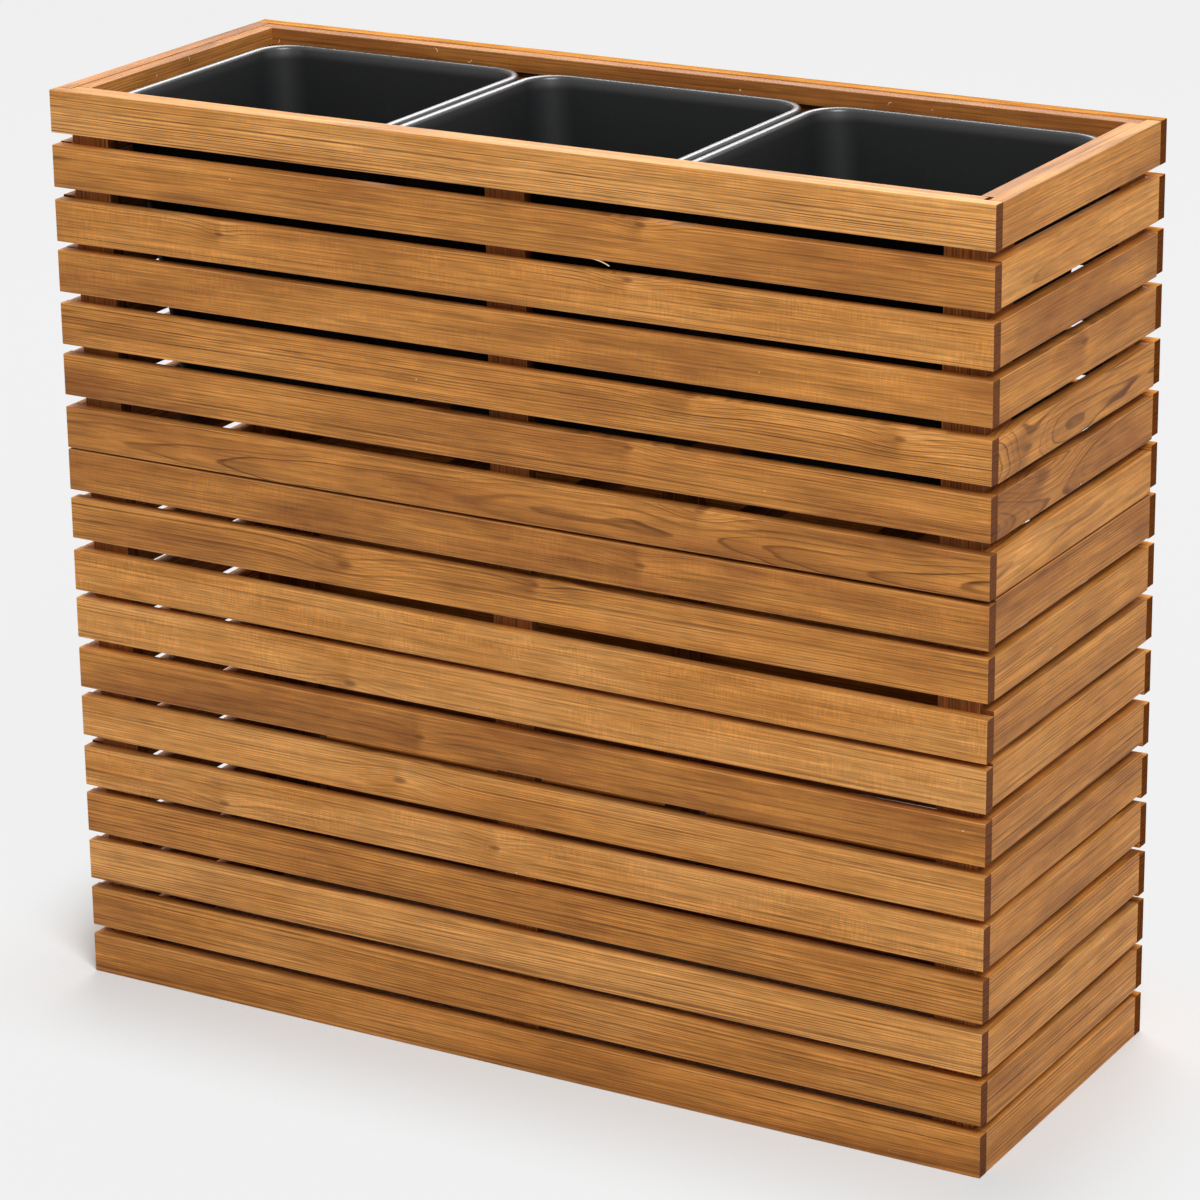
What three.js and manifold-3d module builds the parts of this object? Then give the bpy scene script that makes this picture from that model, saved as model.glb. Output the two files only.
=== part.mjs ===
import * as THREE from "three";
import { mergeVertices } from "three/addons/utils/BufferGeometryUtils.js";
import Module from "manifold-3d";

// Tall slatted planter in heat-treated pine, built round a row of three square plastic pots.
// Millimetres, Z up. The origin is on the floor under the middle, and the front looks towards -Y.

const wasm = await Module();
wasm.setup();

// Pots: tapered, with a turned-down lip, a stacking ledge and arches between the feet
const POT_COUNT = 3;
const POT_RIM = 308;
const POT_HEIGHT = 310;
const POT_BASE = 216;
const POT_WALL = 2.4;
const RIM_CORNER_RADIUS = 36;
const BASE_CORNER_RADIUS = 27;
const LIP_OVERHANG = 7;
const LIP_DEPTH = 15;
const LIP_ROUNDING = 1.6;
const LEDGE_DROP = 90;
const LEDGE_STEP = 2.5;
const FLOOR_RISE = 9;
const ARCH_WIDTH = 100;
const ARCH_HEIGHT = 7;
const DRAIN_DIAMETER = 10;
const DRAIN_COUNT = 8;
const DRAIN_CIRCLE = 140;

// Slats: planed boards with eased edges
const SLAT_COUNT = 18;
const SLAT_WIDTH = 42;
const SLAT_THICKNESS = 14;
const ARRIS = 2.5;

// Gaps between the slats from the top down, as the hand-nailed rows really fall
const FRONT_ROW_GAPS = [12, 11, 9, 11, 10, 12, 3, 8, 14, 7, 10, 10, 10, 9, 10, 9, 10];
const BACK_ROW_GAPS = [11, 9, 12, 11, 8, 9, 8, 8, 12, 12, 11, 12, 10, 8, 8, 8, 8];
const END_ROW_GAPS = [11, 11, 10, 12, 10, 11, 2, 11, 10, 8, 11, 11, 8, 11, 12, 8, 8];

// How much the right end of each long slat lies higher than its left end, from the top down
const FRONT_ROW_LEANS = [0, 0, 2, 1, 1, 0, 0, -3, -2, -5, -3, -1, -2, 2, 0, 0, 1, 0];
const BACK_ROW_LEANS = [0, 1, 0, 1, 1, -1, 0, -1, 0, 1, -1, -1, 0, 1, -1, 0, 1, 0];

// Uprights, rails and shelf
const BATTEN_WIDTH = 42;
const BATTEN_THICKNESS = 14;
const RAIL_HEIGHT = 18;
const RAIL_DROP = 1;
const FRONT_RAIL_SHORTFALL = 6;
const SHELF_BATTEN_WIDTH = 25;
const SHELF_BATTEN_THICKNESS = 14;

// Clearances
const POT_SIDE_CLEARANCE = 3;
const POT_END_CLEARANCE = 5;
const POT_SEAT_GAP = 0.3;
const RIM_DROP = 14;
const SHELF_END_CLEARANCE = 1;
const FOOT_LAP = 7.5;

// Smoothness of the curves, and how far a cutter reaches past what it cuts
const ARRIS_STEPS = 1;
const CORNER_STEPS = 6;
const ARCH_STEPS = 4;
const DRAIN_SIDES = 12;
const CUT_MARGIN = 5;

// The carcass takes its size from the row of pots and from its slats
const SKIN = SLAT_THICKNESS + BATTEN_THICKNESS;
const INNER_LENGTH = POT_COUNT * POT_RIM + (POT_COUNT + 1) * POT_END_CLEARANCE;
const INNER_DEPTH = POT_RIM + 2 * POT_SIDE_CLEARANCE;
const LENGTH = INNER_LENGTH + 2 * SKIN;
const DEPTH = INNER_DEPTH + 2 * SKIN;
const SLAT_BACK_Y = DEPTH / 2 - SLAT_THICKNESS;
const END_SLAT_BACK_X = LENGTH / 2 - SLAT_THICKNESS;
const HEIGHT = rowHeight(FRONT_ROW_GAPS);
const RAIL_BOTTOM = HEIGHT - RAIL_DROP - RAIL_HEIGHT;
const POT_BOTTOM = HEIGHT - RIM_DROP - POT_HEIGHT;
const SHELF_TOP = POT_BOTTOM - POT_SEAT_GAP;
const LEDGER_TOP = SHELF_TOP - SHELF_BATTEN_THICKNESS;
const POT_PITCH = POT_RIM + POT_END_CLEARANCE;
const SHELF_BATTEN_OFFSET = (ARCH_WIDTH + SHELF_BATTEN_WIDTH) / 2 + FOOT_LAP;

// Wood tones, from the pale new face to the darker boards low down, and the black plastic
const WOOD_PALE = new THREE.Color(0xcf9456);
const WOOD_DARK = new THREE.Color(0xa96c38);
const WOOD_INSIDE = new THREE.Color(0x8a5630);
const PLASTIC = new THREE.Color(0x26282a);
const TONE_STEP = 0.37;

function rowHeight(gaps) {
  let height = SLAT_WIDTH;
  for (let i = 1; i < SLAT_COUNT; i += 1) {
    height += SLAT_WIDTH + gaps[(i - 1) % gaps.length];
  }
  return height;
}

// Heights of the slat centres in a row, from the top down, with the lowest slat on the floor
function rowCentres(gaps) {
  const centres = [];
  let top = rowHeight(gaps);
  for (let i = 0; i < SLAT_COUNT; i += 1) {
    centres.push(top - SLAT_WIDTH / 2);
    top -= SLAT_WIDTH + gaps[i % gaps.length];
  }
  return centres;
}

function roundedRectangle(width, height, radius) {
  const x = width / 2 - radius;
  const y = height / 2 - radius;
  const quarter = Math.PI / 2;
  const shape = new THREE.Shape();
  shape.absarc(x, y, radius, 0, quarter);
  shape.absarc(-x, y, radius, quarter, 2 * quarter);
  shape.absarc(-x, -y, radius, 2 * quarter, 3 * quarter);
  shape.absarc(x, -y, radius, 3 * quarter, 4 * quarter);
  shape.closePath();
  return shape;
}

// A planed board centred on the origin. Its length, width and thickness follow the three directions given.
function board(length, width, thickness, lengthAxis, widthAxis) {
  const section = roundedRectangle(width, thickness, Math.min(ARRIS, thickness / 3));
  const geometry = new THREE.ExtrudeGeometry(section, {
    depth: length,
    bevelEnabled: false,
    curveSegments: ARRIS_STEPS,
  });
  geometry.translate(0, 0, -length / 2);
  const thicknessAxis = new THREE.Vector3().crossVectors(lengthAxis, widthAxis);
  geometry.applyMatrix4(new THREE.Matrix4().makeBasis(widthAxis, thicknessAxis, lengthAxis));
  return geometry;
}

const X = new THREE.Vector3(1, 0, 0);
const Y = new THREE.Vector3(0, 1, 0);
const Z = new THREE.Vector3(0, 0, 1);

function toSolid(geometry) {
  const bare = geometry.clone();
  bare.deleteAttribute("normal");
  bare.deleteAttribute("uv");
  const merged = mergeVertices(bare);
  const vertProperties = new Float32Array(merged.attributes.position.array);
  const triVerts = new Uint32Array(merged.index.array);
  return new wasm.Manifold(new wasm.Mesh({ numProp: 3, vertProperties, triVerts }));
}

function toGeometry(solid) {
  const mesh = solid.getMesh();
  const geometry = new THREE.BufferGeometry();
  geometry.setAttribute("position", new THREE.BufferAttribute(mesh.vertProperties, 3));
  geometry.setIndex(new THREE.BufferAttribute(mesh.triVerts, 1));
  const flat = geometry.toNonIndexed();
  flat.computeVertexNormals();
  return flat;
}

function wood(tone, roughness) {
  const color = WOOD_PALE.clone().lerp(WOOD_DARK, tone);
  return new THREE.MeshStandardMaterial({ color, roughness, metalness: 0 });
}

function insideWood() {
  return new THREE.MeshStandardMaterial({ color: WOOD_INSIDE, roughness: 0.75, metalness: 0 });
}

function addMesh(group, name, geometry, material, x, y, z) {
  const mesh = new THREE.Mesh(geometry, material);
  mesh.name = name;
  mesh.position.set(x, y, z);
  group.add(mesh);
  return mesh;
}

function numbered(name, index) {
  return `${name}_${String(index + 1).padStart(2, "0")}`;
}

// A row of full-length slats, nailed to the uprights by eye, so that some lean a little
function longRow(name, side, gaps, leans) {
  const row = new THREE.Group();
  const y = side * (DEPTH - SLAT_THICKNESS) / 2;
  rowCentres(gaps).forEach((z, i) => {
    const tone = (i * TONE_STEP) % 1;
    const geometry = board(LENGTH, SLAT_WIDTH, SLAT_THICKNESS, X, Z);
    const slat = addMesh(row, numbered(name, i), geometry, wood(tone, 0.62), 0, y, z);
    slat.rotation.y = -Math.atan(leans[i % leans.length] / LENGTH);
  });
  return row;
}

// An end panel: short slats held together by the two uprights that they are nailed to
function endPanel(name, side) {
  const uprightX = side * (END_SLAT_BACK_X - BATTEN_THICKNESS / 2);
  const slatX = side * (LENGTH - SLAT_THICKNESS) / 2;
  let panel = null;
  for (const face of [-1, 1]) {
    const upright = board(RAIL_BOTTOM, BATTEN_WIDTH, BATTEN_THICKNESS, Z, Y);
    upright.translate(uprightX, face * (INNER_DEPTH - BATTEN_WIDTH) / 2, RAIL_BOTTOM / 2);
    panel = panel ? panel.add(toSolid(upright)) : toSolid(upright);
  }
  for (const z of rowCentres(END_ROW_GAPS)) {
    const slat = board(2 * SLAT_BACK_Y, SLAT_WIDTH, SLAT_THICKNESS, Y, Z);
    slat.translate(slatX, 0, z);
    panel = panel.add(toSolid(slat));
  }
  const group = new THREE.Group();
  addMesh(group, name, toGeometry(panel), wood(0.45, 0.62), 0, 0, 0);
  return group;
}

// Uprights behind the long rows: one at each end and one in the middle
function uprights(name, side) {
  const group = new THREE.Group();
  const y = side * (SLAT_BACK_Y - BATTEN_THICKNESS / 2);
  const cornerX = END_SLAT_BACK_X - BATTEN_WIDTH / 2;
  const places = { left: -cornerX, middle: 0, right: cornerX };
  for (const [place, x] of Object.entries(places)) {
    const geometry = board(RAIL_BOTTOM, BATTEN_WIDTH, BATTEN_THICKNESS, Z, X);
    addMesh(group, `${name}_${place}_upright`, geometry, insideWood(), x, y, RAIL_BOTTOM / 2);
  }
  return group;
}

// Rails that line the top opening and cap the uprights. The front rail was cut a little short.
function rails() {
  const group = new THREE.Group();
  const z = RAIL_BOTTOM + RAIL_HEIGHT / 2;
  const y = SLAT_BACK_Y - BATTEN_THICKNESS / 2;
  const x = END_SLAT_BACK_X - BATTEN_THICKNESS / 2;
  const full = 2 * END_SLAT_BACK_X;
  const short = full - FRONT_RAIL_SHORTFALL;
  const frontRail = board(short, RAIL_HEIGHT, BATTEN_THICKNESS, X, Z);
  const backRail = board(full, RAIL_HEIGHT, BATTEN_THICKNESS, X, Z);
  addMesh(group, "front_rail", frontRail, wood(0.6, 0.6), -FRONT_RAIL_SHORTFALL / 2, -y, z);
  addMesh(group, "back_rail", backRail, wood(0.5, 0.6), 0, y, z);
  for (const [name, side] of [["left_rail", -1], ["right_rail", 1]]) {
    const endRail = board(INNER_DEPTH, RAIL_HEIGHT, BATTEN_THICKNESS, Y, Z);
    addMesh(group, name, endRail, wood(0.4, 0.6), side * x, 0, z);
  }
  return group;
}

function potCentre(index) {
  return (index - (POT_COUNT - 1) / 2) * POT_PITCH;
}

// The shelf: two ledgers on edge against the uprights, and two cross battens under the feet of each pot
function shelf() {
  const group = new THREE.Group();
  const ledgerY = (INNER_DEPTH - BATTEN_THICKNESS) / 2;
  for (const [name, side] of [["front_ledger", -1], ["back_ledger", 1]]) {
    const ledger = board(INNER_LENGTH, BATTEN_WIDTH, BATTEN_THICKNESS, X, Z);
    addMesh(group, name, ledger, insideWood(), 0, side * ledgerY, LEDGER_TOP - BATTEN_WIDTH / 2);
  }
  const battenLength = INNER_DEPTH - 2 * SHELF_END_CLEARANCE;
  const battenZ = SHELF_TOP - SHELF_BATTEN_THICKNESS / 2;
  for (let i = 0; i < 2 * POT_COUNT; i += 1) {
    const side = i % 2 === 0 ? -1 : 1;
    const x = potCentre(Math.floor(i / 2)) + side * SHELF_BATTEN_OFFSET;
    const batten = board(battenLength, SHELF_BATTEN_WIDTH, SHELF_BATTEN_THICKNESS, Y, X);
    addMesh(group, numbered("shelf_batten", i), batten, insideWood(), x, 0, battenZ);
  }
  return group;
}

// Points round a square with round corners, anticlockwise from above
function squareRing(half, radius, z) {
  const points = [];
  const centre = half - radius;
  for (let corner = 0; corner < 4; corner += 1) {
    const start = corner * Math.PI / 2;
    const signX = corner === 0 || corner === 3 ? 1 : -1;
    const signY = corner < 2 ? 1 : -1;
    for (let step = 0; step <= CORNER_STEPS; step += 1) {
      const angle = start + step / CORNER_STEPS * Math.PI / 2;
      const x = signX * centre + radius * Math.cos(angle);
      const y = signY * centre + radius * Math.sin(angle);
      points.push([x, y, z]);
    }
  }
  return points;
}

// A square relative of a turned shape: rings lofted one to the next, closed by a fan at both ends
function loftRings(rings) {
  const count = rings[0].length;
  const positions = [0, 0, rings[0][0][2]];
  for (const ring of rings) {
    for (const point of ring) {
      positions.push(...point);
    }
  }
  positions.push(0, 0, rings[rings.length - 1][0][2]);
  const last = 1 + rings.length * count;
  const index = [];
  for (let i = 0; i < count; i += 1) {
    const next = (i + 1) % count;
    index.push(0, 1 + next, 1 + i);
    for (let r = 0; r < rings.length - 1; r += 1) {
      const low = 1 + r * count;
      const high = low + count;
      index.push(low + i, low + next, high + next);
      index.push(low + i, high + next, high + i);
    }
    const top = last - count;
    index.push(last, top + i, top + next);
  }
  const geometry = new THREE.BufferGeometry();
  geometry.setAttribute("position", new THREE.Float32BufferAttribute(positions, 3));
  geometry.setIndex(index);
  return geometry;
}

// Half the outer width of a pot's tapered wall at a height, and the corner radius that goes with it
function wallHalf(z) {
  const foot = POT_BASE / 2;
  const neck = POT_RIM / 2 - LIP_OVERHANG - LEDGE_STEP;
  return foot + (neck - foot) * z / POT_HEIGHT;
}

function wallRadius(z) {
  return BASE_CORNER_RADIUS + (RIM_CORNER_RADIUS - BASE_CORNER_RADIUS) * z / POT_HEIGHT;
}

// One ring of the wall, moved out by a step above the ledge and in by the wall on its inner side
function wallRing(z, out) {
  return squareRing(wallHalf(z) + out, wallRadius(z) + out, z);
}

// The pot's shell, from the underside of its floor, round the feet, up the outside, over the lip
// and down the inside to the top of the floor
function potShell() {
  const ledge = POT_HEIGHT - LEDGE_DROP;
  const lipUnder = POT_HEIGHT - POT_WALL;
  const lipFoot = POT_HEIGHT - LIP_DEPTH;
  const lipShoulder = POT_HEIGHT - LIP_ROUNDING;
  const lipRing = (inset, z) => squareRing(POT_RIM / 2 - inset, RIM_CORNER_RADIUS + LIP_OVERHANG - inset, z);
  return loftRings([
    wallRing(FLOOR_RISE, -POT_WALL),
    wallRing(0, -POT_WALL),
    wallRing(0, 0),
    wallRing(ledge, 0),
    wallRing(ledge + LEDGE_STEP, LEDGE_STEP),
    wallRing(lipUnder, LEDGE_STEP),
    lipRing(POT_WALL, lipUnder),
    lipRing(POT_WALL, lipFoot),
    lipRing(0, lipFoot),
    lipRing(0, lipShoulder),
    lipRing(LIP_ROUNDING, POT_HEIGHT),
    wallRing(POT_HEIGHT, LEDGE_STEP - POT_WALL + LIP_ROUNDING),
    wallRing(lipShoulder, LEDGE_STEP - POT_WALL),
    wallRing(ledge + LEDGE_STEP, LEDGE_STEP - POT_WALL),
    wallRing(ledge, -POT_WALL),
    wallRing(FLOOR_RISE + POT_WALL, -POT_WALL),
  ]);
}

// A low arch through the skirt under the pot's floor, in the direction of the axis given
function archCutter(axis) {
  const shape = new THREE.Shape();
  shape.moveTo(ARCH_WIDTH / 2, -CUT_MARGIN);
  shape.lineTo(ARCH_WIDTH / 2, 0);
  shape.absellipse(0, 0, ARCH_WIDTH / 2, ARCH_HEIGHT, 0, Math.PI, false, 0);
  shape.lineTo(-ARCH_WIDTH / 2, -CUT_MARGIN);
  shape.closePath();
  const depth = POT_RIM;
  const geometry = new THREE.ExtrudeGeometry(shape, { depth, bevelEnabled: false, curveSegments: ARCH_STEPS });
  geometry.translate(0, 0, -depth / 2);
  const across = new THREE.Vector3().crossVectors(Z, axis);
  geometry.applyMatrix4(new THREE.Matrix4().makeBasis(across, Z, axis));
  return geometry;
}

function drainCutter(x, y) {
  const height = POT_WALL + 2 * CUT_MARGIN;
  const geometry = new THREE.CylinderGeometry(DRAIN_DIAMETER / 2, DRAIN_DIAMETER / 2, height, DRAIN_SIDES);
  geometry.rotateX(Math.PI / 2);
  geometry.translate(x, y, FLOOR_RISE + POT_WALL / 2);
  return geometry;
}

function potGeometry() {
  let pot = toSolid(potShell());
  for (const axis of [X, Y]) {
    pot = pot.subtract(toSolid(archCutter(axis)));
  }
  pot = pot.subtract(toSolid(drainCutter(0, 0)));
  for (let i = 0; i < DRAIN_COUNT; i += 1) {
    const angle = (i + 0.5) / DRAIN_COUNT * 2 * Math.PI;
    const radius = DRAIN_CIRCLE / 2;
    pot = pot.subtract(toSolid(drainCutter(radius * Math.cos(angle), radius * Math.sin(angle))));
  }
  return toGeometry(pot);
}

// The pots in their row, each standing with its feet just over the shelf battens
function pots() {
  const group = new THREE.Group();
  const geometry = potGeometry();
  for (let i = 0; i < POT_COUNT; i += 1) {
    const material = new THREE.MeshStandardMaterial({ color: PLASTIC, roughness: 0.45, metalness: 0 });
    addMesh(group, numbered("pot", i), geometry, material, potCentre(i), 0, POT_BOTTOM);
  }
  return group;
}

// The back was spaced by eye in the same way, with gaps and leans of its own
const planter = new THREE.Group();
planter.add(longRow("front_slat", -1, FRONT_ROW_GAPS, FRONT_ROW_LEANS));
planter.add(longRow("back_slat", 1, BACK_ROW_GAPS, BACK_ROW_LEANS));
planter.add(endPanel("left_end_panel", -1));
planter.add(endPanel("right_end_panel", 1));
planter.add(uprights("front", -1));
planter.add(uprights("back", 1));
planter.add(rails());
planter.add(shelf());
planter.add(pots());

export default planter;
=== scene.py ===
import math
import random

import bmesh
import bpy
from mathutils import Matrix, Vector


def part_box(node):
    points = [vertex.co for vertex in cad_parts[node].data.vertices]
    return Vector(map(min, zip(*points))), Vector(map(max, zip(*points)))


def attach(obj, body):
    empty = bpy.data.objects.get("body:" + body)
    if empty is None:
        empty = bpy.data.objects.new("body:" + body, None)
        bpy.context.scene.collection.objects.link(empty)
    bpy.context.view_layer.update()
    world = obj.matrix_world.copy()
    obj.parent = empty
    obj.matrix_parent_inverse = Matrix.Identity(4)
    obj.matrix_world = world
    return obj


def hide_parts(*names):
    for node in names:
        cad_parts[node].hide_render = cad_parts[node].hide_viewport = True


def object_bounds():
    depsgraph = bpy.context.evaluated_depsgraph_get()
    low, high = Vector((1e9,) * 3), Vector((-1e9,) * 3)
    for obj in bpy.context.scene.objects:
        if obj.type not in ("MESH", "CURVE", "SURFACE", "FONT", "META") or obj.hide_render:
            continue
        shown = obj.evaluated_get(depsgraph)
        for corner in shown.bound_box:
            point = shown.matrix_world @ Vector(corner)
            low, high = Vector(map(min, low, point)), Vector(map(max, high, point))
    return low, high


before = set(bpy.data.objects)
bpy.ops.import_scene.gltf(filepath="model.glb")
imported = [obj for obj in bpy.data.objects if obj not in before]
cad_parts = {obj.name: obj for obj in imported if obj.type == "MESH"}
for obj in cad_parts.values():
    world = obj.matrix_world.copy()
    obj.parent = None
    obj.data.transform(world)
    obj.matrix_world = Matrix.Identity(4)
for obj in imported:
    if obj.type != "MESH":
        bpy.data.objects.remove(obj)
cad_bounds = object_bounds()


# The camera
# It stands to the right of the front and a little above the top edge, as a product photographer's does,
# with a long lens that keeps the corners nearly upright.
CAMERA_TURN = math.radians(30.11)
CAMERA_RISE = math.radians(19.10)
CAMERA_ROLL = math.radians(-0.74)
CAMERA_DISTANCE = 4.4969
PLANTER_RIGHT_OF_CENTRE = 0.0081
PLANTER_BELOW_CENTRE = 0.4032
FOCAL_LENGTH = 133.83
SENSOR = 36.0


def new_object(name, data):
    """An object of the data, put into the scene."""
    made = bpy.data.objects.new(name, data)
    bpy.context.scene.collection.objects.link(made)
    return made


back = Vector((
    math.sin(CAMERA_TURN) * math.cos(CAMERA_RISE),
    -math.cos(CAMERA_TURN) * math.cos(CAMERA_RISE),
    math.sin(CAMERA_RISE),
))
level = Vector((0, 0, 1)).cross(back).normalized()
upright = back.cross(level)
right = level * math.cos(CAMERA_ROLL) + upright * math.sin(CAMERA_ROLL)
up = upright * math.cos(CAMERA_ROLL) - level * math.sin(CAMERA_ROLL)
camera_data = bpy.data.cameras.new("studio_camera")
camera_data.lens = FOCAL_LENGTH
camera_data.sensor_width = SENSOR
camera_data.clip_end = 100
camera = new_object("studio_camera", camera_data)
stand = back * CAMERA_DISTANCE - right * PLANTER_RIGHT_OF_CENTRE + up * PLANTER_BELOW_CENTRE
camera.matrix_world = Matrix.Translation(stand) @ Matrix((right, up, back)).transposed().to_4x4()
bpy.context.scene.camera = camera


# The studio: a pale floor and soft light
# A white sweep of card lies under the planter. A large soft lamp hangs high on the right, and another one
# behind the planter catches the rims and the top edges. The white room fills the shadows.
BACKDROP_COLOUR = "#F1F1F1"
CARD_COLOUR = "#E2E2E2"
CARD_GLOW_FAR = 0.97
CARD_GLOW_REACH = 0.2
FLOOR_REACH = 30.0
ROOM_LIGHT = 0.2
# The power in watts, the size and the place of each lamp.
LAMPS = {
    "key_lamp": (250.0, 2.8, Vector((3.0, -3.2, 4.4))),
    "top_lamp": (155.0, 2.6, Vector((-1.0, 2.3, 3.3))),
}
LAMP_AIM = Vector((0, 0, 0.5))


def hex_colour(code):
    """The linear colour of an sRGB hex code."""
    parts = [int(code[i:i + 2], 16) / 255 for i in (1, 3, 5)]
    linear = [p / 12.92 if p <= 0.04045 else ((p + 0.055) / 1.055) ** 2.4 for p in parts]
    return (*linear, 1.0)


def add(tree, kind, links=None, **settings):
    """Adds a node with its settings. links gives each input a value, or the output that feeds it."""
    node = tree.nodes.new(kind)
    for setting, value in settings.items():
        setattr(node, setting, value)
    for socket, value in (links or {}).items():
        source = value.outputs[0] if isinstance(value, bpy.types.Node) else value
        if isinstance(source, bpy.types.NodeSocket):
            tree.links.new(source, node.inputs[socket])
        else:
            node.inputs[socket].default_value = source
    return node


def new_material(name):
    """An empty node material and its tree."""
    material = bpy.data.materials.new(name)
    material.use_nodes = True
    material.node_tree.nodes.clear()
    return material, material.node_tree


def hang_lamp(name, power, size, where):
    """A soft square lamp that looks at the middle of the planter."""
    data = bpy.data.lights.new(name, "AREA")
    data.energy = power
    data.size = size
    lamp = new_object(name, data)
    lamp.location = where
    lamp.rotation_euler = (LAMP_AIM - where).to_track_quat("-Z", "Y").to_euler()


def seen_rays(tree):
    """1 for what the camera sees, straight or mirrored, and 0 for the light that falls on the object."""
    rays = add(tree, "ShaderNodeLightPath").outputs
    seen = rays["Is Camera Ray"]
    for kind in ("Is Glossy Ray", "Is Transmission Ray"):
        seen = add(tree, "ShaderNodeMath", {0: seen, 1: rays[kind]}, operation="MAXIMUM")
    return seen


for name, (power, size, where) in LAMPS.items():
    hang_lamp(name, power, size, where)

world = bpy.data.worlds.new("studio")
bpy.context.scene.world = world
world.use_nodes = True
tree = world.node_tree
tree.nodes.clear()
room = add(tree, "ShaderNodeBackground", {"Color": hex_colour("#FFFFFF"), "Strength": ROOM_LIGHT})
backdrop = add(tree, "ShaderNodeBackground", {"Color": hex_colour(BACKDROP_COLOUR), "Strength": 1.0})
sky = add(tree, "ShaderNodeMixShader", {0: seen_rays(tree), 1: room, 2: backdrop})
add(tree, "ShaderNodeOutputWorld", {"Surface": sky})

card_material, tree = new_material("white_card")
card = add(tree, "ShaderNodeBsdfDiffuse", {"Color": hex_colour(CARD_COLOUR), "Roughness": 1.0})
glow = add(tree, "ShaderNodeEmission", {"Color": hex_colour(BACKDROP_COLOUR), "Strength": 1.0})
foot = add(tree, "ShaderNodeTexCoord").outputs["Object"]
foot = add(tree, "ShaderNodeVectorMath", {0: foot}, operation="ABSOLUTE")
half_foot = (cad_bounds[1] - cad_bounds[0]) / 2
foot = add(tree, "ShaderNodeVectorMath", {0: foot, 1: (half_foot.x, half_foot.y, 0)}, operation="SUBTRACT")
foot = add(tree, "ShaderNodeVectorMath", {0: foot, 1: (0, 0, 0)}, operation="MAXIMUM")
away = add(tree, "ShaderNodeVectorMath", {0: foot}, operation="LENGTH").outputs["Value"]
share = add(tree, "ShaderNodeMapRange", {0: away, 1: 0.0, 2: CARD_GLOW_REACH, 3: 0.0, 4: CARD_GLOW_FAR},
            interpolation_type="SMOOTHSTEP")
share = add(tree, "ShaderNodeMath", {0: share, 1: seen_rays(tree)}, operation="MULTIPLY")
surface = add(tree, "ShaderNodeMixShader", {0: share, 1: card, 2: glow})
add(tree, "ShaderNodeOutputMaterial", {"Surface": surface})
floor_mesh = bpy.data.meshes.new("floor")
floor_mesh.from_pydata([(-FLOOR_REACH, -FLOOR_REACH, 0), (FLOOR_REACH, -FLOOR_REACH, 0),
                        (FLOOR_REACH, FLOOR_REACH, 0), (-FLOOR_REACH, FLOOR_REACH, 0)], [], [(0, 1, 2, 3)])
floor_mesh.materials.append(card_material)
floor = new_object("floor", floor_mesh)


# Front and back slats
# Planed boards of heat-treated pine, 42 by 14 mm, eased along their edges and sawn square at the ends,
# stapled from inside to the uprights with uneven gaps. The front row is oiled, and the back row is left dry.
MM = 0.001
SLAT_COUNT = 18
TOP_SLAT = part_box("front_slat_01")
SLAT_LENGTH = TOP_SLAT[1].x - TOP_SLAT[0].x
SLAT_WIDTH = TOP_SLAT[1].z - TOP_SLAT[0].z
SLAT_THICKNESS = TOP_SLAT[1].y - TOP_SLAT[0].y
ARRIS = 0.9 * MM
BACK_ARRIS = 0.25 * MM
END_EASE = 0.3 * MM
# The long edges wander by this much in all, in a few waves to the metre.
WANDER = 0.2 * MM
WAVES_PER_METRE = 3
BOARD_SEED = 3.0
SLAT_STEPS = 25
ARRIS_STEPS = 4
# These say which faces are the sawn ends, and how much of a rounding takes the arris's or the end's colour.
END_FACING = 0.9
ARRIS_MARKED = 0.95
TIP_MARKED = 0.5
# A board's middle, turn and fullness, and what its grain is drawn from. Each is an attribute of its point.
BOARD_LOOKS = ("turn", "full", "pith", "drift", "look", "rings", "knot_a", "knot_b")
SHARP_ANGLE = math.radians(35)


def layout_tree(name, inputs):
    """A new tree that lays a shape on points, with what its named inputs give."""
    tree = bpy.data.node_groups.new(name, "GeometryNodeTree")
    for label, kind in inputs.items():
        tree.interface.new_socket(label, in_out="INPUT", socket_type="NodeSocket" + kind)
    tree.interface.new_socket("Laid", in_out="OUTPUT", socket_type="NodeSocketGeometry")
    return tree, tree.nodes.new("NodeGroupInput").outputs


def on_points(tree, points, shape, size):
    """The shape on every point, with the turn and the size that the point's attributes say, and that turn."""
    turn = add(tree, "GeometryNodeInputNamedAttribute", {"Name": "turn"}, data_type="FLOAT_VECTOR")
    turn = add(tree, "FunctionNodeEulerToRotation", {0: turn})
    size = add(tree, "GeometryNodeInputNamedAttribute", {"Name": size}, data_type="FLOAT_VECTOR")
    laid = add(tree, "GeometryNodeInstanceOnPoints",
               {"Points": points, "Instance": shape, "Rotation": turn, "Scale": size})
    return add(tree, "GeometryNodeRealizeInstances", {0: laid}), turn


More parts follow.
